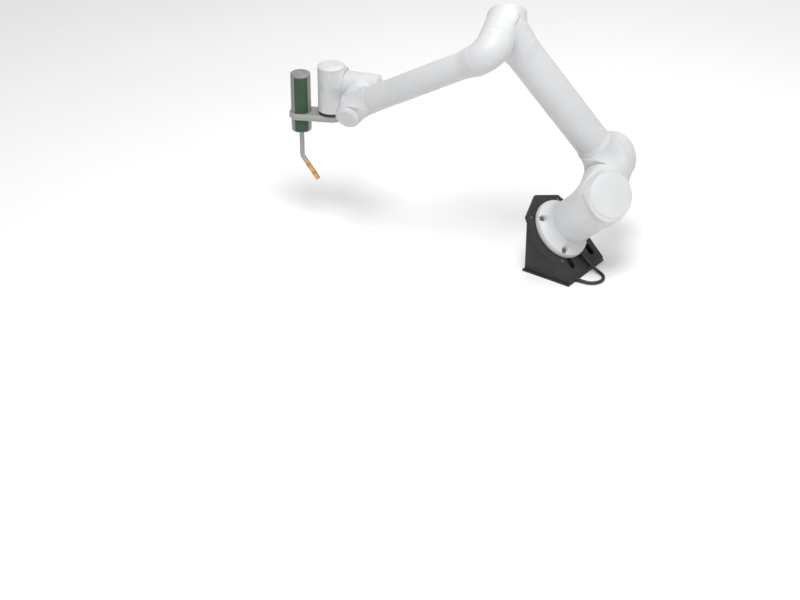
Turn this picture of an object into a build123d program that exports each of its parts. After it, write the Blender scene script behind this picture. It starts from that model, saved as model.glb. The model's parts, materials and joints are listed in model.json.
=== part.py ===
"""Six-axis collaborative robot arm on a 45 degree pedestal, holding a welding torch.

Millimetres, +Z up.  The origin is the centre of the pedestal's foot, on the surface it stands on.
+X points down the pedestal's incline and +Y lies along the incline's level direction.
"""
from build123d import *
from math import cos, radians, sin, tan
import os

os.makedirs("parts", exist_ok=True)

# ---- pedestal -------------------------------------------------------------------------------
HEAD_R = 139.0            # top of the plate's octagonal head
HEAD_W = 134.0            # half width of the head at its side corners
HEAD_CORNER = (94.0, 98.0)
NECK_W = 119.0            # half width where the head runs into the ramp
RAMP_W = 104.0            # half width of the ramp and outer face of the side walls
RAMP_LOW = 156.0          # from the arm's axis down to the ramp's lower edge
PLATE_T = 12.0
WALL_T = 8.0
BACK_X = -87.0            # outer face of the back wall
FOOT_T = 6.0
FOOT_RIM = 6.0            # the foot stands this far proud of the walls
FOOT_BOLT_X = 140.0
FOOT_BOLT_Y = 160.0
FOOT_HOLE_R = 4.5
WINDOWS = ((-47.0, -105.0), (69.0, -105.0))
WINDOW_W, WINDOW_L = 23.0, 48.0
PLATE_SCREWS = ((-80.0, 87.0), (80.0, 87.0), (-76.0, -87.0), (76.0, -87.0))

# ---- arm: joint offsets and link lengths -------------------------------------------------------
SHOULDER_H = 180.0        # flange rim to the shoulder axis
UPPER_L = 625.0           # shoulder axis to elbow axis
FORE_L = 565.0            # elbow axis to the first wrist axis
UPPER_OFF = 186.0         # upper arm centreline, along the shoulder axis
FORE_OFF = 46.0           # forearm centreline, along the shoulder axis
WRIST_OFF = 150.0         # second wrist body, along the shoulder axis
WRIST_L = 110.0           # first wrist axis to the vertical wrist head
HEAD_L = 110.0            # second wrist axis to the tool face
Q1, Q2, Q3 = 25.0, -75.0, -163.5      # rest angles of base, shoulder and elbow

# ---- arm: cross sections ---------------------------------------------------------------------
FLANGE_R = 102.0
FLANGE_T = 12.0
BASE_R = 75.0             # base column and shoulder pipe
UPPER_R = 59.0
ELBOW_R = 60.0
FORE_R = 43.0
WRIST_R = 45.0
TOP_R = 46.0              # vertical wrist head
WALL = 9.0                # casting walls on the big joints
THIN = 5.0                # walls of tubes and wrist castings
GAP = 0.5                 # half of the groove between two links
SEAM1 = 48.0              # base joint, above the flange rim
SEAM2 = 112.0             # shoulder and elbow joints, along the shoulder axis
SEAM4 = 97.0
SEAM5 = 58.0
SEAM6 = 98.0
LID_OUT = 70.0            # centre of an oblique lid beyond the crossing axes
LID_TILT = 25.0
LID_T = 7.0
LID_ROUND = 2.5
SLEEVE = 110.0            # castings clamp the tubes over this length
SLEEVE_T = 4.0
STUB_LID, TEE_LID, TOP_LID = 63.0, 60.0, 65.0
STUB_R = 40.5             # the first wrist stub tapers to this at its lid
PLUG_TURN = 82.0          # screwed plug on the wrist head, round from the bracket's side
PLUG_DOWN = 82.0
PLUG_R = 6.0
BEVEL_R = 32.0            # flat facet of the small bevelled lids
BOLT_PCD_R = 88.0
SCOOP_R = 9.6

# ---- welding tool ---------------------------------------------------------------------------
TORCH_OFF = 105.0         # tool axis to torch axis
TORCH_TURN = 9.0          # bracket direction, turned about the tool axis from the wrist's own
TORCH_R = 33.5
TORCH_UP = 135.0          # torch above the tool face
TORCH_DOWN = 69.0         # torch below it
BRACKET_T = 21.0
BRACKET_R = 37.5
SCREW_PCD_R = 25.0
PANEL_TURN = 103.0        # middle of the green panels, round from the bracket's direction
PANEL_HALF = 41.0
NECK_R = 8.0
NECK_L = 97.0
NOZZLE_R = 8.0
NOZZLE_L = 78.0
NOZZLE_TILT = 32.0

# ---- base cable -----------------------------------------------------------------------------
CABLE_R = 5.5
GLAND_R = 6.8
TOE_GLAND_R = 7.8
CABLE_ROUTE = (
    (57.9, 14.0, 56.1), (73.4, 18.0, 40.6), (96.0, 24.0, 17.0), (124.0, 24.0, 6.0),
    (146.5, 11.0, 6.0), (157.5, -12.6, 6.0), (153.0, -38.2, 6.0), (134.6, -56.6, 6.6),
    (109.5, -63.3, 8.0), (94.0, -63.6, 8.5),
)


def vec(x, y, z):
    return Vector(x, y, z)


UP = vec(0, 0, 1)
A = vec(cos(radians(45)), 0, sin(radians(45)))       # base axis, square to the incline
H = vec(0, 1, 0)
T = vec(-sin(radians(45)), 0, cos(radians(45)))      # up the incline
MOUNT = vec(-23.5, 0, 127.5)                         # arm axis on the inclined plate
RIM = MOUNT + A * FLANGE_T
RAMP_FRONT_X = MOUNT.X + RAMP_LOW * A.X              # front face of the ramp's toe

Z = H * cos(radians(Q1)) + T * sin(radians(Q1))      # shoulder, elbow and first wrist axes
SIDE = Z.cross(A)


def link_dir(angle):
    return A * cos(radians(angle)) + SIDE * sin(radians(angle))


U = link_dir(Q2)
V = link_dir(Q3)
W5 = Z.cross(UP).normalized() * -1                   # level, square to the shoulder axis
SHOULDER = RIM + A * SHOULDER_H
ELBOW = SHOULDER + U * UPPER_L
WRIST = ELBOW + V * FORE_L
UPPER_LOW = SHOULDER + Z * UPPER_OFF
UPPER_TOP = ELBOW + Z * UPPER_OFF
FORE_TOP = ELBOW + Z * FORE_OFF
FORE_LOW = WRIST + Z * FORE_OFF
TEE = WRIST + Z * WRIST_OFF
TOP = TEE + W5 * WRIST_L
FACE = TOP - UP * HEAD_L                             # tool face
BAR = W5 * cos(radians(TORCH_TURN)) + UP.cross(W5) * sin(radians(TORCH_TURN))
TORCH = FACE + BAR * TORCH_OFF


def rod(point, axis, start, end, radius, end_radius=None):
    """A cylinder, or a cone, along axis from start to end."""
    place = Plane(origin=point + axis * start, z_dir=axis)
    low = (Align.CENTER, Align.CENTER, Align.MIN)
    if end_radius is None:
        return place * Cylinder(radius, end - start, align=low)
    return place * Cone(radius, end_radius, end - start, align=low)


def ring(point, axis, start, end, outer, inner):
    return rod(point, axis, start, end, outer) - rod(point, axis, start - 1, end + 1, inner)


def beyond(point, normal):
    """The half space on the normal's side of a plane through point."""
    low = (Align.CENTER, Align.CENTER, Align.MIN)
    return Plane(origin=point, z_dir=normal) * Box(500, 500, 500, align=low)


def bent_rod(start, corner, end, bend, radius):
    """A round bar that turns one corner on an arc."""
    path = FilletPolyline(start, corner, end, radius=bend)
    place = Plane(origin=start, z_dir=corner - start)
    return sweep(place * Circle(radius), path=path)


def write(name, shape):
    shape.label = name
    export_step(shape, "parts/" + name + ".step")


def group(pieces):
    return Compound(children=list(pieces))


# ---- shells -----------------------------------------------------------------------------------
def corner_casting(point, axis, branch, seam, joint_r, branch_r, reach, bend):
    """A joint housing along axis, closed by an oblique lid, with a blended branch beside it."""
    normal = axis * cos(radians(LID_TILT)) - branch * sin(radians(LID_TILT))
    lid_at = point + axis * LID_OUT
    long_housing = rod(point, axis, seam, LID_OUT + 60, joint_r)
    open_end = beyond(lid_at - normal * LID_T, normal)
    outer = long_housing - open_end
    outer += rod(point, branch, 0, reach, branch_r)
    blend_r = min(joint_r, branch_r) - 1
    blend_end = max(reach - 0.5, bend + 2)
    blend_start = max(-seam - 0.5, bend + 2)
    blend = bent_rod(point - axis * blend_start, point, point + branch * blend_end, bend, blend_r)
    blend -= beyond(point + axis * seam, axis * -1)
    blend -= beyond(point + branch * reach, branch)
    outer += blend
    inner = rod(point, axis, seam - 1, LID_OUT + 60, joint_r - WALL)
    outer -= inner
    outer -= rod(point, branch, 0, reach + 1, branch_r - WALL)
    lid = rod(lid_at, normal, -LID_T, -LID_ROUND, joint_r)
    lid += rod(lid_at, normal, -LID_ROUND, 0, joint_r, joint_r - LID_ROUND)
    return outer, lid


def bevelled_lid(point, axis, out, radius):
    """A small round cover with a bevelled edge, out along axis from point."""
    return rod(point, axis, out - 12, out - 6, radius) + rod(point, axis, out - 6, out, radius, BEVEL_R)


def pedestal():
    on_plate = Plane(origin=MOUNT, x_dir=H, z_dir=A)
    half = [(0, HEAD_R), HEAD_CORNER, (HEAD_W, 8), (NECK_W, -31), (RAMP_W, -70), (RAMP_W, -RAMP_LOW)]
    outline = half + [(-x, y) for x, y in reversed(half[1:])]
    plate = extrude(on_plate * make_face(Polyline(outline, close=True)), -PLATE_T)
    toe_z = MOUNT.Z - RAMP_LOW * A.Z
    toe_back = RAMP_FRONT_X - 14
    toe = [(RAMP_FRONT_X, toe_z), (RAMP_FRONT_X, FOOT_T), (toe_back, FOOT_T), (toe_back, toe_z + 2)]
    level = Plane(origin=(0, RAMP_W, 0), x_dir=(1, 0, 0), z_dir=(0, -1, 0))
    plate += extrude(level * make_face(Polyline(toe, close=True)), 2 * RAMP_W)
    for x, y in WINDOWS:
        window = on_plate * Pos(x, y, -PLATE_T - 1) * SlotOverall(WINDOW_L, WINDOW_W, rotation=90)
        plate -= extrude(window, PLATE_T + 2)
    plate -= rod(MOUNT, A, -PLATE_T - 1, 1, 40)
    plate -= [rod(p, A, -PLATE_T - 1, 1, 4) for p in base_bolt_points()]
    screws = []
    for x, y in PLATE_SCREWS:
        centre = MOUNT + H * x + T * y
        screw = rod(centre, A, -2.4, 0, 2.4, 4.8) + rod(centre, A, -10, -2.4, 2.4)
        screw -= Plane(origin=centre, x_dir=H, z_dir=A) * Pos(0, 0, -1.5) * extrude(RegularPolygon(1.6, 6), 2)
        screws.append(screw)
        plate -= rod(centre, A, -2.4, 0, 2.4, 4.8) + rod(centre, A, -10, -2.4, 2.4) + rod(centre, A, 0, 1, 4.8)

    under = MOUNT - A * PLATE_T                       # a point on the plate's underside
    slope_sum = under.X + under.Z                     # x + z is constant on that face
    front_x = toe_back

    def profile(y, thickness):
        corners = [(BACK_X, FOOT_T), (front_x, FOOT_T), (front_x, slope_sum - front_x),
                   (BACK_X, slope_sum - BACK_X)]
        at = Plane(origin=(0, y, 0), x_dir=(1, 0, 0), z_dir=(0, -1, 0))
        return extrude(at * make_face(Polyline(corners, close=True)), thickness)

    left = profile(-RAMP_W + WALL_T, WALL_T)          # the -Y side
    right = profile(RAMP_W, WALL_T)
    back_box = [(BACK_X, FOOT_T), (BACK_X + WALL_T, FOOT_T),
                (BACK_X + WALL_T, slope_sum - BACK_X - WALL_T), (BACK_X, slope_sum - BACK_X)]
    inside = RAMP_W - WALL_T
    at = Plane(origin=(0, inside, 0), x_dir=(1, 0, 0), z_dir=(0, -1, 0))
    back = extrude(at * make_face(Polyline(back_box, close=True)), 2 * inside)

    x0, x1 = BACK_X - FOOT_RIM, RAMP_FRONT_X
    foot = Pos((x0 + x1) / 2, 0, FOOT_T / 2) * Box(x1 - x0, 2 * (RAMP_W + FOOT_RIM), FOOT_T)
    foot -= Pos(-8, 0, 0) * Box(100, 100, 4 * FOOT_T)
    for sx in (-1, 1):
        for sy in (-1, 1):
            hole = Pos(sx * FOOT_BOLT_X / 2, sy * FOOT_BOLT_Y / 2, 0) * Cylinder(FOOT_HOLE_R, 4 * FOOT_T)
            foot -= hole
    write("pedestal_plate", plate)
    write("pedestal_left_wall", left)
    write("pedestal_right_wall", right)
    write("pedestal_back_wall", back)
    write("pedestal_foot", foot)
    write("pedestal_screws", group(screws))


def base_bolt_points():
    turns = [radians(45 + 90 * i) for i in range(4)]
    return [MOUNT + (H * cos(t) + T * sin(t)) * BOLT_PCD_R for t in turns]


def base():
    """The fixed foot of the arm: a flange with a flared rise and bolts in scoops."""
    side = Plane(origin=RIM, x_dir=H, z_dir=H.cross(A))
    top = SEAM1 - GAP
    flare_low, flare_mid, flare_high = (97, 0), (81.2, 16.2), (BASE_R, 38)
    bore_r = BASE_R - WALL
    edges = [Polyline((bore_r, -FLANGE_T), (FLANGE_R, -FLANGE_T), (FLANGE_R, -2), (FLANGE_R - 2, 0), flare_low),
             ThreePointArc(flare_low, flare_mid, flare_high),
             Polyline(flare_high, (BASE_R, top), (bore_r, top), (bore_r, -FLANGE_T))]
    body = revolve(side * make_face(Curve() + edges), axis=Axis(RIM, A))
    bolts = []
    for point in base_bolt_points():
        body -= rod(point, A, FLANGE_T, 60, SCOOP_R)
        body -= rod(point, A, -1, FLANGE_T, 4)
        bolt = rod(point, A, FLANGE_T, FLANGE_T + 8, 6.5) + rod(point, A, -PLATE_T, FLANGE_T, 4)
        socket = Plane(origin=point + A * (FLANGE_T + 4), x_dir=H, z_dir=A) * RegularPolygon(3.4, 6)
        bolts.append(bolt - extrude(socket, 5))
    write("base_flange", body)
    write("base_bolts", group(bolts))


def shoulder():
    body, lid = corner_casting(SHOULDER, A, Z, SEAM1 + GAP - SHOULDER_H, BASE_R, BASE_R,
                               SEAM2 - GAP, 138)
    write("shoulder_casting", body)
    write("shoulder_lid", lid)


def upper_arm():
    low, low_lid = corner_casting(UPPER_LOW, Z, U, SEAM2 + GAP - UPPER_OFF, BASE_R - 2,
                                  UPPER_R + SLEEVE_T, SLEEVE, 72)
    high, high_lid = corner_casting(UPPER_TOP, Z, U * -1, SEAM2 + GAP - UPPER_OFF, ELBOW_R,
                                    UPPER_R + 2, SLEEVE, 72)
    clear = rod(UPPER_LOW, U, 80, UPPER_L - 80, UPPER_R)
    tube = ring(UPPER_LOW, U, 80, UPPER_L - 80, UPPER_R, UPPER_R - THIN)
    write("upper_arm_shoulder_casting", low - clear)
    write("upper_arm_shoulder_lid", low_lid)
    write("upper_arm_elbow_casting", high - clear)
    write("upper_arm_elbow_lid", high_lid)
    write("upper_arm_tube", tube)


def forearm():
    seam = SEAM2 - GAP - FORE_OFF
    bend = 62
    body = rod(FORE_TOP, Z, bend - 1, seam, ELBOW_R - 1)
    body += bent_rod(FORE_TOP + Z * (bend + 2), FORE_TOP, FORE_TOP + V * (bend + 2), bend, ELBOW_R - 4)
    body += rod(FORE_TOP, V, bend, 105, ELBOW_R - 4, FORE_R + 3)
    body -= rod(FORE_TOP, Z * -1, -seam - 1, -seam + 24, ELBOW_R - WALL)
    body -= bent_rod(FORE_TOP + Z * 64, FORE_TOP, FORE_TOP + V * 106, bend, FORE_R - THIN)
    body -= rod(FORE_TOP, V, 75, 110, FORE_R)
    tube = ring(FORE_TOP, V, 75, FORE_L - 47, FORE_R, FORE_R - THIN)
    stub = rod(FORE_LOW, Z, -8, SEAM4 - GAP - FORE_OFF, WRIST_R)
    stub += rod(FORE_LOW, Z, 12 - STUB_LID, -8, STUB_R, WRIST_R)
    stub += rod(FORE_LOW, V * -1, 0, 80, WRIST_R - 0.5)
    stub -= rod(FORE_LOW, Z, -9, SEAM4 - FORE_OFF, WRIST_R - THIN)
    stub -= rod(FORE_LOW, Z, 11 - STUB_LID, -8, STUB_R - THIN)
    stub -= rod(FORE_LOW, V * -1, 0, 81, FORE_R - THIN)
    stub -= rod(FORE_LOW, V * -1, 47, 81, FORE_R)
    write("forearm_elbow_casting", body)
    write("forearm_tube", tube)
    write("forearm_wrist_casting", stub)
    write("forearm_wrist_lid", bevelled_lid(FORE_LOW, Z * -1, STUB_LID, STUB_R))


def wrists():
    tee = rod(TEE, W5, 12 - TEE_LID, SEAM5 - GAP, WRIST_R)
    tee += rod(TEE, Z, SEAM4 + GAP - WRIST_OFF, 0, WRIST_R - 0.5)
    tee -= rod(TEE, W5, 11 - TEE_LID, SEAM5, WRIST_R - THIN)
    tee -= rod(TEE, Z, SEAM4 - WRIST_OFF, 0, WRIST_R - THIN - 0.5)
    write("wrist_1_casting", tee)
    write("wrist_1_lid", bevelled_lid(TEE, W5 * -1, TEE_LID, WRIST_R))
    head = rod(TOP, UP, GAP - SEAM6, TOP_LID - 12, TOP_R)
    head += rod(TOP, W5, SEAM5 + GAP - WRIST_L, 0, WRIST_R)
    head -= rod(TOP, UP, -SEAM6, TOP_LID - 11, TOP_R - THIN)
    head -= rod(TOP, W5, SEAM5 - WRIST_L, 0, WRIST_R - THIN)
    turn = radians(PLUG_TURN)
    plug_dir = (W5 * cos(turn) - W5.cross(UP) * sin(turn)).normalized()
    plug_at = TOP - UP * PLUG_DOWN
    head -= rod(plug_at, plug_dir, TOP_R - THIN - 1, TOP_R + 1, PLUG_R)
    plug = rod(plug_at, plug_dir, TOP_R - THIN, TOP_R - 1.2, PLUG_R)
    write("wrist_2_casting", head)
    write("wrist_2_lid", bevelled_lid(TOP, UP, TOP_LID, TOP_R))
    write("wrist_2_plug", plug)


# ---- drives: bearing, strain-wave gear and motor in one link, hub in the other ---------------------
def drive(number, point, axis, bore, hub_bore, shaft, gear_l, motor_l, with_hub=True):
    """point is the joint's seam on its axis, and axis points into the link that holds the motor."""
    spigot = bore - 15
    name = "j" + str(number)
    gear = 15 + gear_l
    write(name + "_bearing", ring(point, axis, 2, 14, bore, spigot + 0.05))
    write(name + "_gear", ring(point, axis, 15.5, gear, bore, shaft))
    write(name + "_motor", ring(point, axis, gear, gear + motor_l, bore - 4, shaft))
    if with_hub:
        hub = rod(point, axis, -10, -GAP, hub_bore) + rod(point, axis, -GAP, 14.5, spigot)
        write(name + "_hub", hub - rod(point, axis, -11, 15, shaft))


def drives():
    big, elbow, small = BASE_R - WALL, ELBOW_R - WALL, WRIST_R - THIN
    drive(1, RIM + A * SEAM1, A, big, big, 14, 18, 30)
    drive(2, SHOULDER + Z * SEAM2, Z * -1, big, big - 2, 14, 18, 28)
    drive(3, ELBOW + Z * SEAM2, Z, elbow, elbow, 12, 16, 30)
    drive(4, WRIST + Z * SEAM4, Z * -1, small, small - 0.5, 8, 14, 30)
    drive(5, TEE + W5 * SEAM5, W5 * -1, small, small, 8, 14, 30)
    drive(6, TOP - UP * SEAM6, UP, TOP_R - THIN, 0, 8, 14, 30, with_hub=False)


# ---- welding tool -------------------------------------------------------------------------------
def tool():
    spigot = TOP_R - THIN - 15
    flange = rod(TOP, UP, -HEAD_L, -SEAM6 - GAP, TOP_R - 2)
    flange += rod(TOP, UP, -SEAM6 - GAP, -SEAM6 + 14.5, spigot)
    flange -= rod(TOP, UP, -HEAD_L - 1, 0, 8)
    across = UP.cross(BAR)
    turns = [radians(45 + 90 * i) for i in range(4)]
    screw_points = [FACE + (BAR * cos(t) + across * sin(t)) * SCREW_PCD_R for t in turns]
    plane = Plane(origin=FACE, x_dir=BAR, z_dir=UP)
    corner_x = TORCH_OFF + BRACKET_R * tan(radians(22.5))
    corner_y = BRACKET_R * tan(radians(22.5))
    half = [(0, BRACKET_R), (corner_x, BRACKET_R), (TORCH_OFF + BRACKET_R, corner_y)]
    outline = half + [(x, -y) for x, y in reversed(half)]
    bar = extrude(plane * make_face(Polyline(outline, close=True)), -BRACKET_T)
    bar += rod(FACE, UP, -BRACKET_T, 0, BRACKET_R)
    bar = chamfer(bar.faces().sort_by(Axis.Z)[-1].edges(), 1.2)
    bar -= rod(TORCH, UP, -BRACKET_T - 1, 1, TORCH_R)
    split = Plane(origin=TORCH, x_dir=BAR, z_dir=UP) * Pos(BRACKET_R, 0, -BRACKET_T / 2)
    bar -= split * Box(16, 3, BRACKET_T + 2)
    screws = []
    for point in screw_points:
        bar -= rod(point, UP, -BRACKET_T, 0, 3) + rod(point, UP, -BRACKET_T - 1, 6 - BRACKET_T, 5)
        flange -= rod(point, UP, -1, 8, 3)
        screw = rod(point, UP, -BRACKET_T, 6 - BRACKET_T, 5) + rod(point, UP, 6 - BRACKET_T, 7, 3)
        socket = Plane(origin=point - UP * BRACKET_T, x_dir=BAR, z_dir=UP) * RegularPolygon(2.6, 6)
        screws.append(screw - extrude(socket, 3.5))
    write("tool_flange", flange)
    write("torch_bracket", bar)
    write("bracket_screws", group(screws))

    cap_t, panel_t, rim = 5.0, 1.6, 3.0
    body = rod(TORCH, UP, -TORCH_DOWN + rim, TORCH_UP - cap_t, TORCH_R)
    body += rod(TORCH, UP, -TORCH_DOWN, -TORCH_DOWN + rim, TORCH_R - rim, TORCH_R)
    body -= rod(TORCH, UP, -TORCH_DOWN + 8, TORCH_UP, TORCH_R - 4)
    body -= rod(TORCH, UP, -TORCH_DOWN - 1, 0, NECK_R)
    front = BAR * cos(radians(PANEL_TURN)) + across * sin(radians(PANEL_TURN))
    facing = Plane(origin=TORCH, x_dir=front, z_dir=UP)
    reach = 2 * TORCH_R
    spread = reach * tan(radians(PANEL_HALF))
    sector = facing * make_face(Polyline((0, 0), (reach, -spread), (reach, spread), close=True))
    panels = []
    for low, high in ((rim + 1 - TORCH_DOWN, -BRACKET_T - 1.5), (1.5, TORCH_UP - cap_t - 2)):
        wedge = extrude(Pos(0, 0, low) * sector, high - low)
        panels.append(ring(TORCH, UP, low, high, TORCH_R + 0.5, TORCH_R - panel_t) & wedge)
        body -= ring(TORCH, UP, low, high, TORCH_R + 1, TORCH_R - panel_t) & wedge
    write("torch_body", body)
    write("torch_panels", group(panels))
    cap = rod(TORCH, UP, TORCH_UP - cap_t, TORCH_UP - 1.5, TORCH_R)
    cap += rod(TORCH, UP, TORCH_UP - 1.5, TORCH_UP, TORCH_R, TORCH_R - 1.5)
    write("torch_cap", cap + rod(TORCH, UP, TORCH_UP - cap_t - 6, TORCH_UP - cap_t, TORCH_R - 4))

    start = TORCH - UP * (TORCH_DOWN - 12)
    corner = TORCH - UP * (TORCH_DOWN + NECK_L)
    aim = UP * -cos(radians(NOZZLE_TILT)) - BAR * sin(radians(NOZZLE_TILT))
    neck = bent_rod(start, corner, corner + aim * 22, 55, NECK_R)
    neck_end = corner + aim * 22
    wire_r = 0.6
    nozzle = rod(neck_end, aim, 0, NOZZLE_L, NOZZLE_R)
    nozzle -= rod(neck_end, aim, 4, NOZZLE_L + 1, NOZZLE_R - 2)
    nozzle -= rod(neck_end, aim, -1, 5, 3)
    tip = rod(neck_end, aim, 0, 4, 3) + rod(neck_end, aim, 4, NOZZLE_L - 8, 4)
    tip += rod(neck_end, aim, NOZZLE_L - 8, NOZZLE_L - 2, 4, 2.4)
    tip -= rod(neck_end, aim, -1, NOZZLE_L, wire_r)
    write("torch_neck", neck)
    write("torch_nozzle", nozzle)
    write("contact_tip", tip)
    write("welding_wire", rod(neck_end, aim, 0, NOZZLE_L + 2, wire_r))


# ---- base cable ------------------------------------------------------------------------------
def cable():
    points = [vec(*p) for p in CABLE_ROUTE]
    runs = [b - a for a, b in zip(points, points[1:])]
    radii = []
    for before, after in zip(runs, runs[1:]):
        half_turn = before.get_angle(after) / 2
        shorter = min(before.length, after.length)
        radii.append(0.45 * shorter / tan(radians(half_turn)))
    print("cable corner radii", [round(r) for r in radii])
    path = FilletPolyline(*points, radius=radii)
    tube = sweep(Plane(origin=points[0], z_dir=runs[0]) * Circle(CABLE_R), path=path)
    print("cable length", round(path.length), "volume ratio",
          round(tube.volume / (Circle(CABLE_R).area * path.length), 4))
    out = runs[0].normalized()
    gland = rod(points[0], out, -16, 0, GLAND_R) - rod(RIM, A, -FLANGE_T - 1, 5, FLANGE_R)
    into = runs[-1].normalized()
    nut = rod(points[-1], into, 0, 12, TOE_GLAND_R) - beyond(vec(RAMP_FRONT_X, 0, 0), vec(-1, 0, 0))
    write("base_cable", tube)
    write("cable_gland", gland)
    write("pedestal_gland", nut)


pedestal()
base()
shoulder()
upper_arm()
forearm()
wrists()
drives()
tool()
cable()
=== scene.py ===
"""The looks of a six-axis collaborative robot arm with a welding torch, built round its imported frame.

Cast links are smooth skins taken from distance fields, turned parts are lathed profiles, and plates
and screws are the frame's own nodes with eased edges.  Metres throughout, +Z up.
"""

import json
from math import cos, pi, radians, sin

import bmesh
import bpy
import numpy as np
import openvdb
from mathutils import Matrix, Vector


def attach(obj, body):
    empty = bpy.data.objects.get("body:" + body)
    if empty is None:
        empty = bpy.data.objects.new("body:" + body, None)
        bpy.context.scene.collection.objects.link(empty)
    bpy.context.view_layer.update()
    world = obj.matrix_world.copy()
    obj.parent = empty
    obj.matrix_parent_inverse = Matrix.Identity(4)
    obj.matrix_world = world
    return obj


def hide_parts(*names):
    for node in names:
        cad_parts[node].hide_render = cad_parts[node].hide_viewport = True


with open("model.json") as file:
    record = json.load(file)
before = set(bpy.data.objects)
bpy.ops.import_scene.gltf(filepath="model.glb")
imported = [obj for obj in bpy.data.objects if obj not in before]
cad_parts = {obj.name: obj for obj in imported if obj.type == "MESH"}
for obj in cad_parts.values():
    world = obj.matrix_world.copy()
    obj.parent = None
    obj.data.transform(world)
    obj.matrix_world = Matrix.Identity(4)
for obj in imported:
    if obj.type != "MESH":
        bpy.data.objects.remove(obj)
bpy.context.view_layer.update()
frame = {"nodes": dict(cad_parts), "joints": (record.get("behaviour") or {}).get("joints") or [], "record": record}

# ---- sizes that the frame's joints don't give --------------------------------------------------
FLANGE_R, FLANGE_T, FLANGE_EDGE = 0.102, 0.012, 0.0022
BASE_R, SHOULDER_R = 0.075, 0.073
UPPER_R, SLEEVE_R = 0.059, 0.063
ELBOW_R, FORE_R = 0.0577, 0.043
ELBOW_BEND, ELBOW_END, ELBOW_END_R = 0.062, 0.105, 0.0495
FORE_SOCKET_R = FORE_R + 0.0012
WRIST_R, TOP_R = 0.045, 0.046
SEAM1, SEAM2, SEAM4, SEAM5, SEAM6 = 0.048, 0.112, 0.097, 0.058, 0.098    # from each axis to its joint
GAP = 0.0003                                                             # half the groove at a joint
SHOULDER_H, UPPER_OFF, FORE_OFF, WRIST_OFF = 0.180, 0.186, 0.046, 0.150
WRIST_L, HEAD_L = 0.110, 0.110
LID_R, UPPER_LID_R, ELBOW_LID_R = 0.0752, SHOULDER_R - 0.001, 0.0575
LID_OUT, LID_T, LID_SEAT = 0.070, 0.003, 0.0001                          # the oblique domed lids
LID_TILT = radians(25)
SLEEVE, LIP_R = 0.110, UPPER_R + 0.0002
STUB_LID, TEE_LID, TOP_LID = 0.063, 0.060, 0.065
STUB_R = 0.0405
FACET_R, CAP_T, CAP_SEAT = 0.032, 0.012, 0.0001                          # the bevelled covers
BOLT_R, SCOOP_R = 0.088, 0.0096                                          # bolt circle, room for a head
SCOOP_FLOOR, SCOOP_TOP, SCOOP_LIP = 0.0004, 0.09, 0.005
TORCH_OFF, TORCH_DOWN = 0.105, 0.069
TORCH_TURN = radians(9)
NECK_R, NECK_L, NECK_TAIL = 0.008, 0.097, 0.022
NOZZLE_R, NOZZLE_L, NOZZLE_WALL = 0.008, 0.078, 0.0018
PLUG_TURN, PLUG_DOWN, PLUG_R = radians(82), 0.082, 0.006
NOZZLE_TILT = radians(32)
CABLE_D = 0.011
CABLE_ROUTE = (
    (0.0579, 0.0140, 0.0561), (0.0734, 0.0180, 0.0406), (0.0960, 0.0240, 0.0170),
    (0.1240, 0.0240, 0.0060), (0.1465, 0.0110, 0.0060), (0.1575, -0.0126, 0.0060),
    (0.1530, -0.0382, 0.0060), (0.1346, -0.0566, 0.0066), (0.1095, -0.0633, 0.0080),
    (0.0940, -0.0636, 0.0085),
)

# ---- how the skins are joined: fillet sizes, and how far a shape runs on past the plane that cuts it
FLANGE_FILLET, PIPE_FILLET, HEAD_FILLET, SLEEVE_FILLET = 0.056, 0.085, 0.05, 0.06
ELBOW_FILLET, TEE_FILLET, TOP_FILLET = 0.04, 0.02, 0.045
LIP_FILLET, BEND_FILLET, TAIL_FILLET = 0.004, 0.006, 0.01
PAST, NEWTON_STEPS = 0.01, 3
HEAD_BACK, ELBOW_HEAD_BACK = 0.055, 0.05                                 # a lidded round, behind its lid

# ---- places, from the joints at rest -----------------------------------------------------------
joint = {j["name"]: j for j in frame["joints"]}


def unit(v):
    return np.array(v, float) / np.linalg.norm(v)


UP = np.array([0.0, 0.0, 1.0])
A = unit(joint["base_turn"]["axis"])                 # square to the inclined plate
Z = unit(joint["shoulder_swing"]["axis"])            # the shoulder, elbow and first wrist turn about it
W5 = unit(joint["wrist_2_turn"]["axis"])             # the second wrist turns about it
LEVEL = np.array([0.0, 1.0, 0.0])                    # across the incline
SLOPE = -unit(np.cross(A, LEVEL))                    # down the incline
RIM = np.array(joint["base_turn"]["pos_m"]) - A * SEAM1
SHOULDER = np.array(joint["shoulder_swing"]["pos_m"]) - Z * SEAM2
ELBOW = np.array(joint["elbow_bend"]["pos_m"]) - Z * SEAM2
WRIST = np.array(joint["wrist_1_swing"]["pos_m"]) - Z * SEAM4
TEE = np.array(joint["wrist_2_turn"]["pos_m"]) - W5 * SEAM5
TOP = np.array(joint["tool_turn"]["pos_m"]) + UP * SEAM6
U = unit(ELBOW - SHOULDER)                           # up the upper arm
V = unit(WRIST - ELBOW)                              # along the forearm
UPPER_L = np.linalg.norm(ELBOW - SHOULDER)
FORE_L = np.linalg.norm(WRIST - ELBOW)
UPPER_LOW, UPPER_TOP = SHOULDER + Z * UPPER_OFF, ELBOW + Z * UPPER_OFF
FORE_TOP, FORE_LOW = ELBOW + Z * FORE_OFF, WRIST + Z * FORE_OFF
FACE = TOP - UP * HEAD_L
BAR = W5 * cos(TORCH_TURN) + np.cross(UP, W5) * sin(TORCH_TURN)    # out along the torch bracket
TORCH = FACE + BAR * TORCH_OFF
body_of_node = {n: b for b, nodes in frame["record"]["behaviour"]["bodies"].items() for n in nodes}
slot_of_node = {s["node"]: s["material_slot"] for s in frame["record"]["subparts"]}


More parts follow.
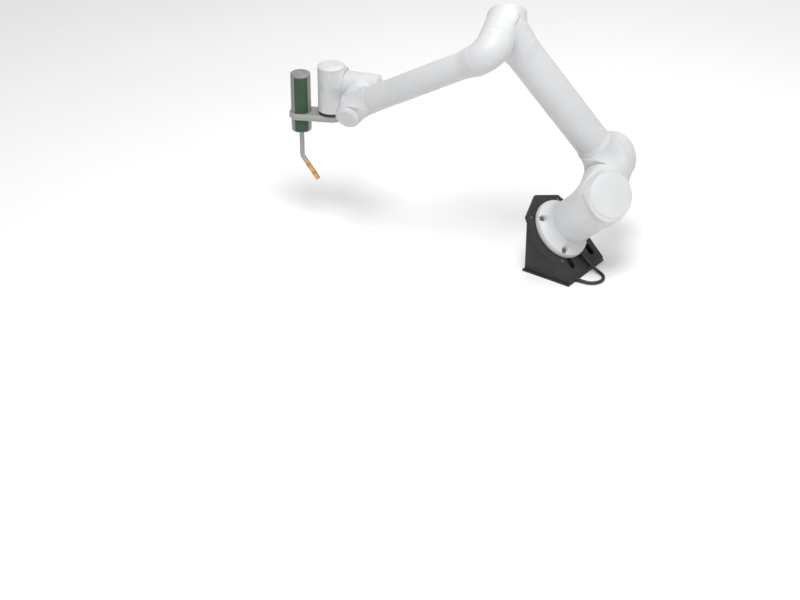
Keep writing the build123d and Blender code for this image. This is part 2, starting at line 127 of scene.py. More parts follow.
# ---- materials ---------------------------------------------------------------------------------
def new_material(name, color, roughness, metallic=0.0):
    material = bpy.data.materials.new(name)
    material.use_nodes = True
    shader = material.node_tree.nodes["Principled BSDF"]
    shader.inputs["Base Color"].default_value = (*color, 1)
    shader.inputs["Roughness"].default_value = roughness
    shader.inputs["Metallic"].default_value = metallic
    return material, shader


def node(material, kind, **values):
    made = material.node_tree.nodes.new(kind)
    for key, value in values.items():
        if key in made.inputs:
            made.inputs[key].default_value = value
        else:
            setattr(made, key, value)
    return made


def link(material, source, target):
    material.node_tree.links.new(source, target)


def coordinates(material, scale=(1, 1, 1)):
    place = node(material, "ShaderNodeTexCoord")
    mapping = node(material, "ShaderNodeMapping", Scale=scale)
    link(material, place.outputs["Object"], mapping.inputs["Vector"])
    return mapping.outputs["Vector"]


def noise(material, scale, detail=4.0, at=None, kind="ShaderNodeTexNoise"):
    made = node(material, kind, Scale=scale)
    if "Detail" in made.inputs:
        made.inputs["Detail"].default_value = detail
    link(material, at or coordinates(material), made.inputs["Vector"])
    return made


def remap(material, value, low, high, start=0.3, end=0.7):
    made = node(material, "ShaderNodeMapRange")
    made.inputs["From Min"].default_value = start
    made.inputs["From Max"].default_value = end
    made.inputs["To Min"].default_value = low
    made.inputs["To Max"].default_value = high
    link(material, value, made.inputs["Value"])
    return made.outputs["Result"]


def tint(material, shader, value, dark, light):
    """Base colour from dark to light as value goes from 0 to 1."""
    ramp = node(material, "ShaderNodeMix", data_type="RGBA")
    ramp.inputs["A"].default_value = (*dark, 1)
    ramp.inputs["B"].default_value = (*light, 1)
    link(material, value, ramp.inputs["Factor"])
    link(material, ramp.outputs["Result"], shader.inputs["Base Color"])
    return ramp


def bump(material, shader, height, strength, distance, after=None):
    made = node(material, "ShaderNodeBump", Strength=strength, Distance=distance)
    link(material, height, made.inputs["Height"])
    if after is not None:
        link(material, after, made.inputs["Normal"])
    link(material, made.outputs["Normal"], shader.inputs["Normal"])
    return made.outputs["Normal"]


def powder_coat(name, dark, light, rough, peel_scale, peel, cloud=5.0, coat=0.0):
    """Sprayed paint: faint clouds of tone, a pebbled surface and uneven gloss."""
    material, shader = new_material(name, light, rough[0])
    clouds = remap(material, noise(material, cloud, 5).outputs["Fac"], 0, 1)
    tint(material, shader, clouds, dark, light)
    gloss = noise(material, 28, 6).outputs["Fac"]
    link(material, remap(material, gloss, *rough), shader.inputs["Roughness"])
    peel_noise = noise(material, peel_scale, 3).outputs["Fac"]
    first = bump(material, shader, peel_noise, peel, 0.0003)
    bump(material, shader, noise(material, peel_scale / 9, 2).outputs["Fac"], peel / 2, 0.0006, first)
    if coat:
        shader.inputs["Coat Weight"].default_value = coat
        shader.inputs["Coat Roughness"].default_value = 0.3
    return material


def worked_metal(name, dark, light, rough, stretch, strength, metallic=1.0):
    """Metal with fine tool lines that run square to the stretched axis."""
    material, shader = new_material(name, light, rough[0], metallic)
    lines = noise(material, 60, 6, coordinates(material, stretch)).outputs["Fac"]
    tint(material, shader, remap(material, lines, 0, 1), dark, light)
    smear = noise(material, 35, 5).outputs["Fac"]
    link(material, remap(material, smear, *rough), shader.inputs["Roughness"])
    bump(material, shader, lines, strength, 0.0002)
    return material


def textured_green(name):
    """A green grip coat with rows of fine raised dots."""
    dark, light = (0.026, 0.070, 0.030), (0.070, 0.150, 0.076)
    material, shader = new_material(name, light, 0.5)
    dots = noise(material, 260, kind="ShaderNodeTexVoronoi").outputs["Distance"]
    tint(material, shader, remap(material, dots, 1, 0, 0.15, 0.6), dark, light)
    wear = noise(material, 45, 6).outputs["Fac"]
    link(material, remap(material, wear, 0.42, 0.62), shader.inputs["Roughness"])
    shader.inputs["Specular IOR Level"].default_value = 0.4
    bump(material, shader, remap(material, dots, 1, 0, 0.1, 0.6), 0.5, 0.0006)
    return material


def copper(name):
    """Turned copper, browned by heat in patches."""
    dark, light = (0.36, 0.17, 0.065), (0.72, 0.40, 0.17)
    material, shader = new_material(name, light, 0.35, 0.85)
    patches = noise(material, 55, 5).outputs["Fac"]
    tint(material, shader, remap(material, patches, 0, 1, 0.35, 0.6), dark, light)
    rings = noise(material, 160, 4, coordinates(material, (0.3, 0.3, 6))).outputs["Fac"]
    link(material, remap(material, rings, 0.28, 0.5), shader.inputs["Roughness"])
    bump(material, shader, rings, 0.25, 0.0002)
    return material


def rubber(name, tone, scale):
    material, shader = new_material(name, (tone,) * 3, 0.55)
    grain = noise(material, scale, 4).outputs["Fac"]
    tint(material, shader, remap(material, grain, 0, 1), (tone * 0.7,) * 3, (tone * 1.5,) * 3)
    wear = noise(material, 60, 5).outputs["Fac"]
    link(material, remap(material, wear, 0.42, 0.66), shader.inputs["Roughness"])
    bump(material, shader, grain, 0.3, 0.0003)
    return material


def make_materials():
    even, along_z, square_to_z = (1, 1, 1), (1, 1, 0.05), (0.08, 0.08, 1)
    white = ((0.50, 0.506, 0.514), (0.57, 0.576, 0.584))
    lid = ((0.52, 0.526, 0.533), (0.59, 0.595, 0.602))
    return {
        "arm_white": powder_coat("arm_white", *white, (0.44, 0.56), 700, 0.10, coat=0.06),
        "lid_white": powder_coat("lid_white", *lid, (0.40, 0.50), 1200, 0.06, coat=0.08),
        "pedestal_black": powder_coat(
            "pedestal_black", (0.011, 0.0112, 0.0118), (0.019, 0.0193, 0.020), (0.52, 0.7), 1500, 0.55),
        "fastener_steel": worked_metal(
            "fastener_steel", (0.16, 0.16, 0.165), (0.36, 0.36, 0.37), (0.3, 0.5), even, 0.2),
        "gland_black": rubber("gland_black", 0.022, 500),
        "cable_jacket": rubber("cable_jacket", 0.016, 800),
        "drive_steel": worked_metal(
            "drive_steel", (0.4, 0.4, 0.42), (0.6, 0.6, 0.62), (0.25, 0.4), even, 0.15),
        "motor_housing": worked_metal(
            "motor_housing", (0.2, 0.2, 0.21), (0.32, 0.33, 0.35), (0.35, 0.5), even, 0.2),
        "hub_aluminium": worked_metal(
            "hub_aluminium", (0.6, 0.6, 0.62), (0.78, 0.78, 0.8), (0.25, 0.4), even, 0.15),
        "plug_grey": powder_coat(
            "plug_grey", (0.5, 0.5, 0.51), (0.58, 0.58, 0.59), (0.45, 0.6), 900, 0.1),
        "tool_flange_black": worked_metal(
            "tool_flange_black", (0.012, 0.012, 0.013), (0.03, 0.03, 0.032), (0.35, 0.5), even, 0.2, 0.4),
        "bracket_grey": worked_metal(
            "bracket_grey", (0.30, 0.30, 0.295), (0.41, 0.41, 0.40), (0.42, 0.6), square_to_z, 0.2, 0.35),
        "torch_green": textured_green("torch_green"),
        "torch_grey": worked_metal(
            "torch_grey", (0.20, 0.20, 0.198), (0.31, 0.31, 0.305), (0.38, 0.55), along_z, 0.2, 0.3),
        "neck_grey": worked_metal(
            "neck_grey", (0.24, 0.24, 0.245), (0.40, 0.40, 0.41), (0.3, 0.45), along_z, 0.15, 0.6),
        "copper": copper("copper"),
        "seal_grey": rubber("seal_grey", 0.42, 600),
    }


materials = make_materials()


def finish_piece(piece, body, slot_name, *nodes, material=None):
    """Gives a new piece its material, slot and body, and hides the nodes that it stands for."""
    piece.data.materials.clear()
    piece.data.materials.append(materials[material or slot_name])
    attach(piece, body)
    if nodes:
        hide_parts(*nodes)
    return piece


def object_from(name, vertices, faces, smooth=radians(40)):
    mesh = bpy.data.meshes.new(name)
    mesh.from_pydata([tuple(v) for v in vertices], [], [tuple(f) for f in faces])
    mesh.validate()
    piece = bpy.data.objects.new(name, mesh)
    bpy.context.scene.collection.objects.link(piece)
    shade(piece, smooth)
    return piece


def shade(piece, angle):
    """Smooth shading with the edges sharper than angle left crisp."""
    mesh = piece.data
    edit = bmesh.new()
    edit.from_mesh(mesh)
    bmesh.ops.recalc_face_normals(edit, faces=edit.faces)
    for face in edit.faces:
        face.smooth = True
    for edge in edit.edges:
        edge.smooth = len(edge.link_faces) == 2 and edge.calc_face_angle(0) < angle
    edit.to_mesh(mesh)
    edit.free()


# ---- distance fields: each takes points and gives distances and outward directions -------------
def bar(point, axis, radius, low, high, edge=0.0):
    """A round bar from low to high along axis, with rounded ends."""
    middle, half = (low + high) / 2, (high - low) / 2

    def field(x):
        rel = x - point
        along = rel @ axis
        radial = rel - along[:, None] * axis
        rho = np.linalg.norm(radial, axis=1) + 1e-12
        radial /= rho[:, None]
        end = np.sign(along - middle)[:, None] * axis
        a, b = rho - radius + edge, abs(along - middle) - half + edge
        outside = np.stack([np.maximum(a, 0), np.maximum(b, 0)], 1)
        length = np.linalg.norm(outside, axis=1)
        inside = np.minimum(np.maximum(a, b), 0)
        share = outside / np.maximum(length, 1e-12)[:, None]
        flat = np.where((a > b)[:, None], radial, end)
        normal = np.where((length > 1e-9)[:, None], share[:, :1] * radial + share[:, 1:] * end, flat)
        return length + inside - edge, normal
    return field


def cone(point, axis, low, high, r_low, r_high):
    """A round cone whose flanks are measured square to the axis."""
    def field(x):
        rel = x - point
        along = rel @ axis
        radial = rel - along[:, None] * axis
        rho = np.linalg.norm(radial, axis=1) + 1e-12
        t = np.clip((along - low) / (high - low), 0, 1)
        t = t * t * (3 - 2 * t)
        side = rho - (r_low + (r_high - r_low) * t)
        ends = np.maximum(low - along, along - high)
        end = np.sign(along - (low + high) / 2)[:, None] * axis
        normal = np.where((side > ends)[:, None], radial / rho[:, None], end)
        return np.maximum(side, ends), normal
    return field


def bend(corner, back, ahead, radius, tube, tube_end):
    """An arc of tapering tube that turns at corner from back to ahead, which are square to each other."""
    turn = (pi - np.arccos(np.clip(back @ ahead, -1, 1))) / 2
    reach = radius * np.tan(turn)
    normal = unit(np.cross(back, ahead))
    centre = corner + unit(back + ahead) * (radius / cos(turn))
    first, last = corner + back * reach - centre, corner + ahead * reach - centre

    def field(x):
        rel = x - centre
        height = rel @ normal
        flat = rel - height[:, None] * normal
        rho = np.linalg.norm(flat, axis=1) + 1e-12
        out = flat / rho[:, None]
        beyond = np.maximum((rel - first) @ back, (rel - last) @ ahead)
        share = np.clip(np.arctan2(rel @ -ahead, rel @ -back) / (pi / 2), 0, 1)
        wide = tube + (tube_end - tube) * (1 - share) ** 1.3
        ring = np.sqrt((rho - radius) ** 2 + height ** 2) + 1e-12
        direction = ((rho - radius)[:, None] * out + height[:, None] * normal) / ring[:, None]
        return np.maximum(ring - wide, beyond), direction
    return field


def blend(first, second, size):
    """A union with a fillet that fades where the two surfaces run side by side."""
    def field(x):
        (a, na), (b, nb) = first(x), second(x)
        reach = size * np.clip(1 - (na * nb).sum(1), 0, 1.2) + 1e-6
        share = np.clip(reach - abs(a - b), 0, None) / reach
        weight = np.where(a < b, 1 - share / 2, share / 2)[:, None]
        return np.minimum(a, b) - share * share * reach / 4, weight * na + (1 - weight) * nb
    return field


def carve(first, second, size):
    """The first field less the second, with a soft lip."""
    def field(x):
        (a, na), (b, nb) = first(x), second(x)
        b, nb = -b, -nb
        share = np.clip(size - abs(a - b), 0, None) / size
        weight = np.where(a > b, 1 - share / 2, share / 2)[:, None]
        return np.maximum(a, b) + share * share * size / 4, weight * na + (1 - weight) * nb
    return field


def skin(name, field, centre, reach, voxel, cuts=()):
    """A smooth mesh of a field's surface, in a box round centre, cut flat by planes (point, normal)."""
    low = np.array(centre) - np.array(reach)
    counts = np.ceil(2 * np.array(reach) / voxel).astype(int) + 1
    values = np.empty(counts, np.float32)
    y, z = np.meshgrid(np.arange(counts[1]), np.arange(counts[2]), indexing="ij")
    sheet = np.stack([np.zeros(y.size), y.ravel(), z.ravel()], 1) * voxel + low
    for i in range(counts[0]):
        sheet[:, 0] = low[0] + i * voxel
        values[i] = field(sheet)[0].reshape(y.shape)
    grid = openvdb.FloatGrid(4 * voxel)
    grid.copyFromArray(np.clip(values, -4 * voxel, 4 * voxel))
    points, quads = grid.convertToQuads(0.0)[:2]
    points = np.array(points, float) * voxel + low
    for _ in range(NEWTON_STEPS):
        distance, normal = field(points)
        normal = normal / (np.linalg.norm(normal, axis=1) + 1e-9)[:, None]
        step = np.clip(distance, -voxel / 2, voxel / 2)
        points -= step[:, None] * normal
    piece = object_from(name, points, quads, radians(180))
    edit = bmesh.new()
    edit.from_mesh(piece.data)
    for point, normal in cuts:
        parts = edit.verts[:] + edit.edges[:] + edit.faces[:]
        bmesh.ops.bisect_plane(edit, geom=parts, dist=1e-5, plane_co=point, plane_no=normal,
                               clear_outer=True)
        open_edges = [e for e in edit.edges if len(e.link_faces) == 1]
        bmesh.ops.holes_fill(edit, edges=open_edges)
    bmesh.ops.remove_doubles(edit, verts=edit.verts, dist=2e-5)
    edit.to_mesh(piece.data)
    edit.free()
    shade(piece, radians(38))
    return piece


# ---- lathed, swept and eased parts ------------------------------------------------------------
def eased(profile, radius, steps=4):
    """The profile (along, radius) with its inner corners rounded."""
    points = [Vector(p) for p in profile]
    out = [points[0]]
    for before, here, after in zip(points, points[1:], points[2:]):
        back, ahead = before - here, after - here
        cut = min(radius, back.length * 0.45, ahead.length * 0.45)
        start, end = here + back.normalized() * cut, here + ahead.normalized() * cut
        for i in range(steps + 1):
            t = i / steps
            out.append(start * (1 - t) ** 2 + here * 2 * t * (1 - t) + end * t ** 2)
    return out + [points[-1]]


def lathe(name, point, axis, profile, segments=96):
    """Turns a profile of (along, radius) about an axis.  It closes where the radius is zero."""
    side = unit(np.cross(axis, UP if abs(axis[2]) < 0.9 else LEVEL))
    other = np.cross(axis, side)
    vertices, rows = [], []
    for along, radius in profile:
        if radius < 1e-7:
            rows.append([len(vertices)] * segments)
            vertices.append(point + axis * along)
            continue
        rows.append(list(range(len(vertices), len(vertices) + segments)))
        for i in range(segments):
            turn = 2 * pi * i / segments
            vertices.append(point + axis * along + (side * cos(turn) + other * sin(turn)) * radius)
    faces = []
    closed = profile[0][1] > 1e-7 and profile[-1][1] > 1e-7
    pairs = list(zip(rows, rows[1:])) + ([(rows[-1], rows[0])] if closed else [])
    for low, high in pairs:
        for i in range(segments):
            k = (i + 1) % segments
            corners = [low[i], low[k], high[k], high[i]]
            faces.append(list(dict.fromkeys(corners)))
    faces = [f for f in faces if len(f) > 2]
    return object_from(name, vertices, faces)


def swept(name, route, radius, around, along):
    """A round cord that follows the points of route."""
    line = bpy.data.curves.new(name, "CURVE")
    line.dimensions = "3D"
    line.bevel_depth = radius
    line.bevel_resolution = around
    line.use_fill_caps = True
    spline = line.splines.new("NURBS")
    spline.points.add(len(route) - 1)
    for control, place in zip(spline.points, route):
        control.co = (*place, 1)
    spline.order_u = 3
    spline.use_endpoint_u = True
    spline.resolution_u = along
    piece = bpy.data.objects.new(name, line)
    bpy.context.scene.collection.objects.link(piece)
    return piece


def eased_node(node_name, width, segments=2, angle=radians(28)):
    """A copy of a frame node with its edges rounded, that stands for it."""
    source = frame["nodes"][node_name]
    mesh = source.data.copy()
    piece = bpy.data.objects.new(node_name + "_eased", mesh)
    bpy.context.scene.collection.objects.link(piece)
    edit = bmesh.new()
    edit.from_mesh(mesh)
    bmesh.ops.remove_doubles(edit, verts=edit.verts, dist=1e-6)
    bmesh.ops.dissolve_limit(edit, angle_limit=radians(0.6), verts=edit.verts, edges=edit.edges)
    sharp = [e for e in edit.edges if len(e.link_faces) == 2 and e.calc_face_angle(0) > angle]
    bmesh.ops.bevel(edit, geom=sharp, offset=width, segments=segments, profile=0.5, affect="EDGES",
                    clamp_overlap=True)
    edit.to_mesh(mesh)
    edit.free()
    shade(piece, radians(35))
    return finish_piece(piece, body_of_node[node_name], slot_of_node[node_name], node_name)


# ---- the arm's castings ------------------------------------------------------------------------
def oblique_lid(name, body, node_name, point, axis, branch, radius):
    """The domed round cover of a joint housing, and the plane where the casting ends."""
    normal = axis * cos(LID_TILT) - branch * sin(LID_TILT)
    centre = point + axis * LID_OUT
    profile = eased([(-LID_T, 0), (-LID_T, radius - 0.0003), (-LID_T + 0.0002, radius), (-0.0022, radius),
                     (-0.0009, radius - 0.0028), (-0.0002, radius * 0.5), (0, 0)], 0.0016)
    lid = lathe(name, centre, normal, profile, 128)
    finish_piece(lid, body, "lid_white", node_name)
    return centre - normal * (LID_T + LID_SEAT), normal


def bevelled_lid(name, body, node_name, point, axis, out, radius):
    """The round cap of a small housing, with a broad bevel round a flat face."""
    foot, edge = out - CAP_T, 0.0003
    profile = eased([(foot, 0), (foot, radius - edge), (foot + edge, radius), (out - 0.007, radius),
                     (out, FACET_R), (out, 0)], 0.0035, 6)
    finish_piece(lathe(name, point, axis, profile), body, "lid_white", node_name)


def straight_tube(name, body, node_name, point, axis, radius, low, high, segments):
    profile = [(low, 0), (low, radius), (high, radius), (high, 0)]
    finish_piece(lathe(name, point, axis, profile, segments), body, "arm_white", node_name)


def base_flange():
    rise = bar(RIM, A, BASE_R, -FLANGE_T, SEAM1 + 2 * PAST)
    disc = bar(RIM, A, FLANGE_R, -FLANGE_T, 0.0, FLANGE_EDGE)
    field = blend(disc, rise, FLANGE_FILLET)
    for i in range(4):
        turn = radians(45 + 90 * i)
        centre = RIM + (LEVEL * cos(turn) - SLOPE * sin(turn)) * BOLT_R
        field = carve(field, bar(centre, A, SCOOP_R, SCOOP_FLOOR, SCOOP_TOP), SCOOP_LIP)
    piece = skin("base_flange_skin", field, centre=RIM + A * 0.02, reach=(0.105, 0.112, 0.105),
                 voxel=0.0016, cuts=[(RIM + A * (SEAM1 - GAP), A)])
    finish_piece(piece, "base", "arm_white", "base_flange")


def shoulder():
    cut = oblique_lid("shoulder_lid_dome", "shoulder", "shoulder_lid", SHOULDER, A, Z, LID_R)
    column = bar(SHOULDER, A, BASE_R, SEAM1 - SHOULDER_H, LID_OUT - 0.052)
    head = bar(SHOULDER + A * LID_OUT, cut[1], LID_R, -HEAD_BACK, 2 * PAST)
    pipe = bar(SHOULDER, Z, BASE_R, 0, SEAM2)
    field = blend(blend(column, head, HEAD_FILLET), pipe, PIPE_FILLET)
    piece = skin("shoulder_skin", field, centre=SHOULDER + Z * 0.02 + A * 0.01, reach=(0.16, 0.14, 0.16),
                 voxel=0.002, cuts=[(RIM + A * (SEAM1 + GAP), -A), (SHOULDER + Z * (SEAM2 - GAP), Z), cut])
    finish_piece(piece, "shoulder", "arm_white", "shoulder_casting")


def upper_arm_shoulder_end(seam):
    cut = oblique_lid("upper_arm_shoulder_dome", "upper_arm", "upper_arm_shoulder_lid",
                      UPPER_LOW, Z, U, UPPER_LID_R)
    housing = bar(UPPER_LOW, Z, SHOULDER_R, seam - PAST, LID_OUT - 0.05)
    head = bar(UPPER_LOW + Z * LID_OUT, cut[1], UPPER_LID_R, -HEAD_BACK, 2 * PAST)
    sleeve = bar(UPPER_LOW, U, SLEEVE_R, 0, SLEEVE - 0.012)
    lip = cone(UPPER_LOW, U, SLEEVE - 0.012, SLEEVE + 0.006, SLEEVE_R, LIP_R)
    field = blend(blend(blend(housing, head, HEAD_FILLET), sleeve, SLEEVE_FILLET), lip, LIP_FILLET)
    piece = skin("upper_arm_shoulder_skin", field, centre=UPPER_LOW + U * 0.02, reach=(0.14, 0.14, 0.15),
                 voxel=0.002, cuts=[(UPPER_LOW + Z * seam, -Z), cut])
    finish_piece(piece, "upper_arm", "arm_white", "upper_arm_shoulder_casting")


def upper_arm_elbow_end(seam):
    cut = oblique_lid("upper_arm_elbow_dome", "upper_arm", "upper_arm_elbow_lid",
                      UPPER_TOP, Z, -U, ELBOW_LID_R)
    housing = bar(UPPER_TOP, Z, ELBOW_R, seam - PAST, LID_OUT - 0.045)
    head = bar(UPPER_TOP + Z * LID_OUT, cut[1], ELBOW_LID_R, -ELBOW_HEAD_BACK, 2 * PAST)
    sleeve = bar(UPPER_TOP, -U, UPPER_R + 0.002, 0, SLEEVE - 0.02)
    lip = cone(UPPER_TOP, -U, SLEEVE - 0.02, SLEEVE + 0.01, UPPER_R + 0.002, LIP_R)
    field = blend(blend(blend(housing, head, ELBOW_FILLET), sleeve, SLEEVE_FILLET), lip, LIP_FILLET)
    piece = skin("upper_arm_elbow_skin", field, centre=UPPER_TOP - U * 0.02, reach=(0.13, 0.13, 0.14),
                 voxel=0.002, cuts=[(UPPER_TOP + Z * seam, -Z), cut])
    finish_piece(piece, "upper_arm", "arm_white", "upper_arm_elbow_casting")


def upper_arm():
    seam = SEAM2 + GAP - UPPER_OFF
    upper_arm_shoulder_end(seam)
    upper_arm_elbow_end(seam)
    straight_tube("upper_arm_tube_skin", "upper_arm", "upper_arm_tube",
                  UPPER_LOW, U, UPPER_R, 0.09, UPPER_L - 0.09, 128)


def forearm_elbow_end():
    seam = SEAM2 - GAP - FORE_OFF
    neck = bar(FORE_TOP, Z, ELBOW_R, ELBOW_BEND - 0.002, seam + 2 * PAST)
    elbow = bend(FORE_TOP, Z, V, ELBOW_BEND, ELBOW_R, ELBOW_END_R)
    run = cone(FORE_TOP, V, ELBOW_BEND - 0.002, ELBOW_END, ELBOW_END_R, FORE_SOCKET_R)
    field = blend(blend(elbow, run, BEND_FILLET), neck, BEND_FILLET)
    piece = skin("forearm_elbow_skin", field, centre=FORE_TOP + Z * 0.01 + V * 0.03,
                 reach=(0.13, 0.13, 0.13), voxel=0.0018, cuts=[(FORE_TOP + Z * seam, Z)])
    finish_piece(piece, "forearm", "arm_white", "forearm_elbow_casting")


def forearm_wrist_end():
    seam = SEAM4 - GAP - FORE_OFF
    stub = bar(FORE_LOW, Z, WRIST_R, -0.002, SEAM4 - FORE_OFF + PAST)
    tail = cone(FORE_LOW, Z, -STUB_LID, 0.0, STUB_R, WRIST_R)
    branch = bar(FORE_LOW, -V, FORE_SOCKET_R, 0, 0.08, 0.001)
    field = blend(blend(stub, tail, TAIL_FILLET), branch, SLEEVE_FILLET)
    piece = skin("forearm_wrist_skin", field, centre=FORE_LOW - V * 0.01, reach=(0.1, 0.1, 0.1),
                 voxel=0.0016,
                 cuts=[(FORE_LOW + Z * seam, Z), (FORE_LOW - Z * (STUB_LID - CAP_T - CAP_SEAT), -Z)])
    finish_piece(piece, "forearm", "arm_white", "forearm_wrist_casting")
    bevelled_lid("forearm_wrist_cover", "forearm", "forearm_wrist_lid", FORE_LOW, -Z, STUB_LID, STUB_R)


def forearm():
    forearm_elbow_end()
    straight_tube("forearm_tube_skin", "forearm", "forearm_tube",
                  FORE_TOP, V, FORE_R, 0.08, FORE_L - 0.05, 112)
    forearm_wrist_end()


def wrist_1():
    tee = bar(TEE, W5, WRIST_R, -TEE_LID, SEAM5 + PAST)
    branch = bar(TEE, Z, WRIST_R - 0.0005, SEAM4 - WRIST_OFF - PAST, 0)
    piece = skin("wrist_1_skin", blend(tee, branch, TEE_FILLET), centre=TEE - Z * 0.01,
                 reach=(0.09, 0.09, 0.08), voxel=0.0016,
                 cuts=[(TEE + W5 * (SEAM5 - GAP), W5), (TEE - W5 * (TEE_LID - CAP_T - CAP_SEAT), -W5),
                       (TEE + Z * (SEAM4 + GAP - WRIST_OFF), -Z)])
    finish_piece(piece, "wrist_1", "arm_white", "wrist_1_casting")
    bevelled_lid("wrist_1_cover", "wrist_1", "wrist_1_lid", TEE, -W5, TEE_LID, WRIST_R)


def wrist_2():
    head = bar(TOP, UP, TOP_R, -SEAM6 - PAST, TOP_LID)
    branch = bar(TOP, -W5, WRIST_R, 0, WRIST_L - SEAM5 + PAST)
    plug_way = unit(W5 * cos(PLUG_TURN) - np.cross(W5, UP) * sin(PLUG_TURN))
    plug_at = TOP - UP * PLUG_DOWN
    dimple = bar(plug_at, plug_way, PLUG_R, TOP_R - 0.0013, TOP_R + PAST)
    field = carve(blend(head, branch, TOP_FILLET), dimple, 0.0012)
    piece = skin("wrist_2_skin", field, centre=TOP - UP * 0.018, reach=(0.08, 0.08, 0.09), voxel=0.0014,
                 cuts=[(TOP - UP * (SEAM6 - GAP), -UP), (TOP + UP * (TOP_LID - CAP_T - CAP_SEAT), UP),
                       (TOP - W5 * (WRIST_L - SEAM5 - GAP), -W5)])
    finish_piece(piece, "wrist_2", "arm_white", "wrist_2_casting")
    bevelled_lid("wrist_2_cover", "wrist_2", "wrist_2_lid", TOP, UP, TOP_LID, TOP_R)
    foot, dish, rim_r = TOP_R - 0.005, TOP_R - 0.0022, PLUG_R - 0.0007
    plug = lathe("wrist_2_plug_cap", plug_at, plug_way, eased(
        [(foot, 0), (foot, rim_r), (TOP_R - 0.0014, rim_r), (TOP_R - 0.0012, 0.0036),
         (dish, 0.0034), (dish, 0)], 0.0003), 48)
    finish_piece(plug, "wrist_2", "plug_grey", "wrist_2_plug")


def seals():
    """The pale lip seal in the groove between each pair of links."""
    places = [
        ("base_seal", "shoulder", RIM + A * SEAM1, A, BASE_R),
        ("shoulder_seal", "upper_arm", SHOULDER + Z * SEAM2, Z, BASE_R),
        ("elbow_seal", "forearm", ELBOW + Z * SEAM2, Z, ELBOW_R),
        ("wrist_1_seal", "wrist_1", WRIST + Z * SEAM4, Z, WRIST_R),
        ("wrist_2_seal", "wrist_2", TEE + W5 * SEAM5, W5, WRIST_R),
        ("tool_seal", "tool", TOP - UP * SEAM6, UP, WRIST_R),
    ]
    half = GAP * 0.9
    for name, body, point, axis, radius in places:
        inner, lip = radius - 0.012, radius - 0.0006
        profile = [(-half, inner), (-half, lip), (0, radius - 0.0004), (half, lip), (half, inner)]
        ring = lathe(name, point, axis, profile, 112)
        finish_piece(ring, body, "gland_black", material="seal_grey")


# ---- welding tool ------------------------------------------------------------------------------
def torch_plates():
    for node_name, width in (("torch_bracket", 0.0016), ("bracket_screws", 0.0005), ("torch_body", 0.0006),
                             ("torch_panels", 0.0004), ("torch_cap", 0.0006)):
        eased_node(node_name, width)


def tool_flange():
    bore, rim = 0.012, TOP_R - 0.002
    flange = lathe("tool_flange_ring", TOP, -UP, eased(
        [(SEAM6 + GAP, bore), (SEAM6 + GAP, TOP_R - 0.003), (SEAM6 + 0.002, rim), (HEAD_L - 0.0012, rim),
         (HEAD_L, TOP_R - 0.0032), (HEAD_L, bore)], 0.0006), 112)
    finish_piece(flange, "tool", "tool_flange_black", "tool_flange")


def torch_neck(corner, aim, end):
    """The bent pipe from the torch body, round its corner and into the nozzle."""
    route = [TORCH - UP * (TORCH_DOWN - 0.01), TORCH - UP * (TORCH_DOWN + 0.03), corner + UP * 0.028,
             corner, corner + aim * 0.016, end + aim * 0.001]
    pipe = swept("torch_neck_pipe", route, NECK_R, 10, 24)
    finish_piece(pipe, "tool", "neck_grey", "torch_neck")


def torch_nozzle(end, aim):
    """The open copper nozzle, with the contact tip and the wire inside it."""
    bore, throat = NOZZLE_R - NOZZLE_WALL, 0.0045
    nozzle = lathe("torch_nozzle_shell", end, aim, eased(
        [(0, throat), (0, NOZZLE_R - 0.001), (0.002, NOZZLE_R), (0.009, NOZZLE_R),
         (0.0098, NOZZLE_R - 0.0006), (0.0106, NOZZLE_R), (NOZZLE_L, NOZZLE_R), (NOZZLE_L, bore),
         (0.005, bore), (0.005, throat)], 0.0005), 72)
    finish_piece(nozzle, "tool", "copper", "torch_nozzle")

    tip_r, tip_end, wire_hole = 0.004, NOZZLE_L - 0.002, 0.0008
    tip = lathe("contact_tip_body", end, aim, eased(
        [(0.001, 0), (0.001, 0.003), (0.004, tip_r), (NOZZLE_L - 0.008, tip_r), (tip_end, 0.0024),
         (tip_end, wire_hole), (NOZZLE_L - 0.02, wire_hole), (NOZZLE_L - 0.02, 0)], 0.0004), 48)
    finish_piece(tip, "tool", "copper", "contact_tip")

    wire_r, wire_start, wire_end = 0.0006, 0.03, NOZZLE_L + 0.002
    wire = lathe("welding_wire_end", end, aim, eased(
        [(wire_start, 0), (wire_start, wire_r), (wire_end, wire_r), (wire_end, 0)], 0.0002), 16)
    finish_piece(wire, "tool", "copper", "welding_wire")


def torch():
    corner = TORCH - UP * (TORCH_DOWN + NECK_L)
    aim = unit(-UP * cos(NOZZLE_TILT) - BAR * sin(NOZZLE_TILT))
    end = corner + aim * NECK_TAIL
    torch_plates()
    tool_flange()
    torch_neck(corner, aim, end)
    torch_nozzle(end, aim)


# ---- pedestal and cable ------------------------------------------------------------------------
def pedestal():
    for node_name, width in (("pedestal_plate", 0.0016), ("pedestal_left_wall", 0.0008),
                             ("pedestal_right_wall", 0.0008), ("pedestal_back_wall", 0.0008),
                             ("pedestal_foot", 0.0012), ("pedestal_screws", 0.0003),
                             ("base_bolts", 0.0005)):
        eased_node(node_name, width)


def gland(name, node_name, tip, way, radius, foot):
    """A ribbed strain relief that tapers along way, away from its foot."""
    profile = [(-foot, 0.0), (-foot, radius), (-foot * 0.55, radius), (-foot * 0.5, radius * 0.93)]
    for i in range(4):
        at, wide = -foot * 0.5 + i * foot * 0.22, radius * (0.95 - 0.05 * i)
        groove = wide * 0.93
        profile += [(at, groove), (at + foot * 0.04, wide)]
        profile += [(at + foot * 0.14, wide), (at + foot * 0.18, groove)]
    profile += [(foot * 0.42, CABLE_D / 2 + 0.0004), (foot * 0.42, 0.0)]
    piece = lathe(name, tip, way, eased(profile, 0.0004, 2), 64)
    return finish_piece(piece, "base", "gland_black", node_name)


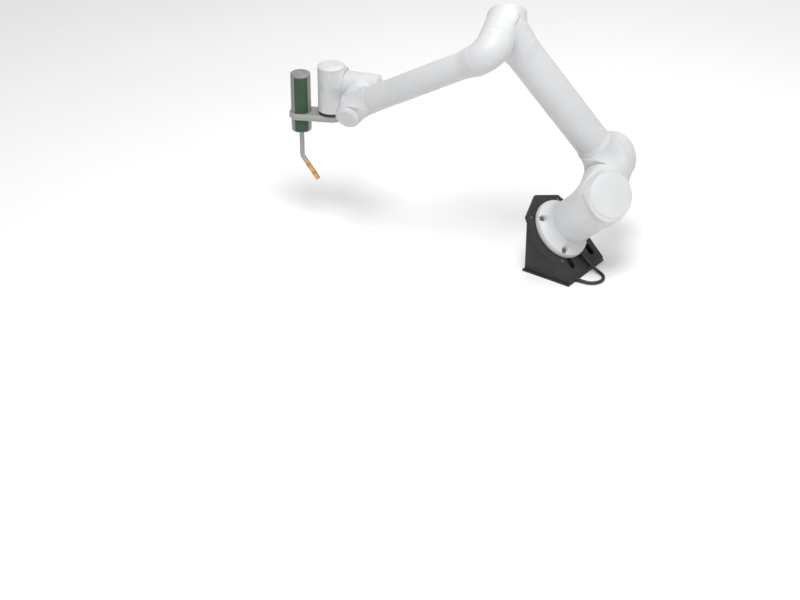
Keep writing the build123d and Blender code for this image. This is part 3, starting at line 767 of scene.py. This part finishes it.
def cable():
    cord = swept("base_cable_jacket", CABLE_ROUTE, CABLE_D / 2, 8, 32)
    finish_piece(cord, "base", "cable_jacket", "base_cable")
    points = [np.array(p) for p in CABLE_ROUTE]
    out_way, in_way = unit(points[1] - points[0]), unit(points[-1] - points[-2])
    exit_gland = gland("cable_gland_boot", "cable_gland", points[0], out_way, 0.0066, 0.012)
    toe_gland = gland("pedestal_gland_boot", "pedestal_gland", points[-1], -in_way, 0.0076, 0.0075)


# ---- stage, light and camera -------------------------------------------------------------------
def stage():
    half = 30
    corners = [(-half, -half, 0), (half, -half, 0), (half, half, 0), (-half, half, 0)]
    floor = object_from("floor", corners, [(0, 1, 2, 3)])
    material, shader = new_material("floor_pale", (0.86, 0.86, 0.86), 0.8)
    tone = remap(material, noise(material, 1.5, 3).outputs["Fac"], 0, 1)
    tint(material, shader, tone, (0.85, 0.85, 0.852), (0.87, 0.87, 0.87))
    floor.data.materials.append(material)


def soft_light(name, place, target, size, power):
    data = bpy.data.lights.new(name, "AREA")
    data.shape = "DISK"
    data.size = size
    data.energy = power
    lamp = bpy.data.objects.new(name, data)
    lamp.location = place
    lamp.rotation_euler = (Vector(target) - Vector(place)).to_track_quat("-Z", "Y").to_euler()
    bpy.context.scene.collection.objects.link(lamp)


def light():
    world = bpy.data.worlds.new("studio")
    world.use_nodes = True
    world.node_tree.nodes["Background"].inputs["Color"].default_value = (1, 1, 1, 1)
    world.node_tree.nodes["Background"].inputs["Strength"].default_value = 0.56
    bpy.context.scene.world = world
    middle = (-0.35, -0.05, 0.4)
    soft_light("key", (0.6, -1.6, 4.2), middle, 1.9, 134)
    soft_light("fill", (3.4, -1.0, 2.4), middle, 2.6, 30)
    soft_light("top", (-0.4, 1.8, 3.6), middle, 2.4, 34)
    bpy.context.scene.view_settings.view_transform = "Standard"


def camera():
    data = bpy.data.cameras.new("camera")
    data.lens = 79.28
    data.sensor_width = 36
    data.shift_x = 0.0124
    data.shift_y = -0.0191
    data.clip_end = 50
    eye = bpy.data.objects.new("camera", data)
    eye.location = (2.5906, -4.4093, 2.8674)
    eye.rotation_euler = (radians(90 - 30.05), 0, radians(36.894))
    bpy.context.scene.collection.objects.link(eye)
    bpy.context.scene.camera = eye


def carried_over():
    """The drives inside the joints keep their frame shapes and get their own metals."""
    for name, piece in frame["nodes"].items():
        if not piece.hide_render:
            piece.data.materials.clear()
            piece.data.materials.append(materials[slot_of_node[name]])


camera()
cable()
pedestal()
base_flange()
shoulder()
upper_arm()
forearm()
wrist_1()
wrist_2()
seals()
torch()
carried_over()
stage()
light()
